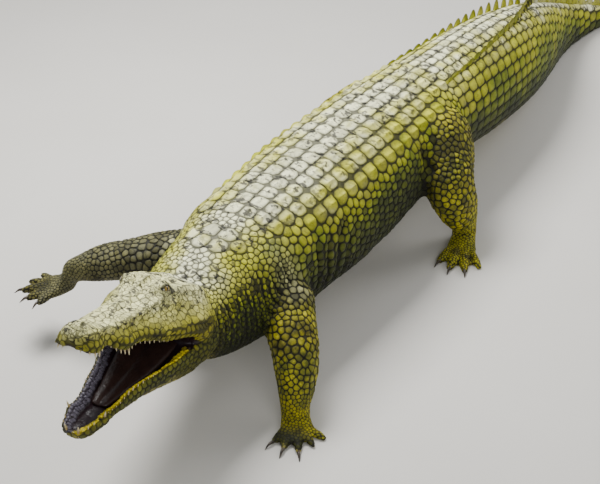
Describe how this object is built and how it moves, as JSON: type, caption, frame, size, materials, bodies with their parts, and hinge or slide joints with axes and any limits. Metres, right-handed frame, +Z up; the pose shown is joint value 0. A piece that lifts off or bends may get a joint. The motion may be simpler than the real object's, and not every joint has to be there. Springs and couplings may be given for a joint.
{
  "type": "nile crocodile",
  "caption": "Grown nile crocodile standing on its feet with its jaws wide open, one forefoot lifted and its long crested tail lying on the floor behind it.",
  "frame": {"origin": "on the floor, under the middle of the whole animal", "axes": "+X towards the head, +Y the animal's left, +Z up"},
  "size_m": [3.9622, 1.172, 0.7205],
  "materials": {
    "hide": "scaly hide, olive, dry",
    "tongue": "moist flesh",
    "eye": "wet and shiny, with a slit pupil",
    "claw": "dark horn, worn shiny"
  },
  "bodies": {
    "root": {"head_upper": "hide", "eye_left": "eye", "eye_right": "eye", "lower_jaw": "hide", "tongue": "tongue", "neck": "hide", "trunk_front": "hide", "trunk_middle": "hide", "trunk_rear": "hide", "tail_1": "hide", "tail_2": "hide", "tail_3": "hide", "tail_4": "hide", "tail_5": "hide", "upper_arm_front_left": "hide", "forearm_front_left": "hide", "foot_front_left": "hide", "claw_inner_front_left": "claw", "claw_second_front_left": "claw", "claw_third_front_left": "claw", "upper_arm_front_right": "hide", "forearm_front_right": "hide", "foot_front_right": "hide", "claw_inner_front_right": "claw", "claw_second_front_right": "claw", "claw_third_front_right": "claw", "thigh_hind_left": "hide", "shank_hind_left": "hide", "foot_hind_left": "hide", "claw_inner_hind_left": "claw", "claw_second_hind_left": "claw", "claw_third_hind_left": "claw", "thigh_hind_right": "hide", "shank_hind_right": "hide", "foot_hind_right": "hide", "claw_inner_hind_right": "claw", "claw_second_hind_right": "claw", "claw_third_hind_right": "claw"}
  },
  "joints": []
}
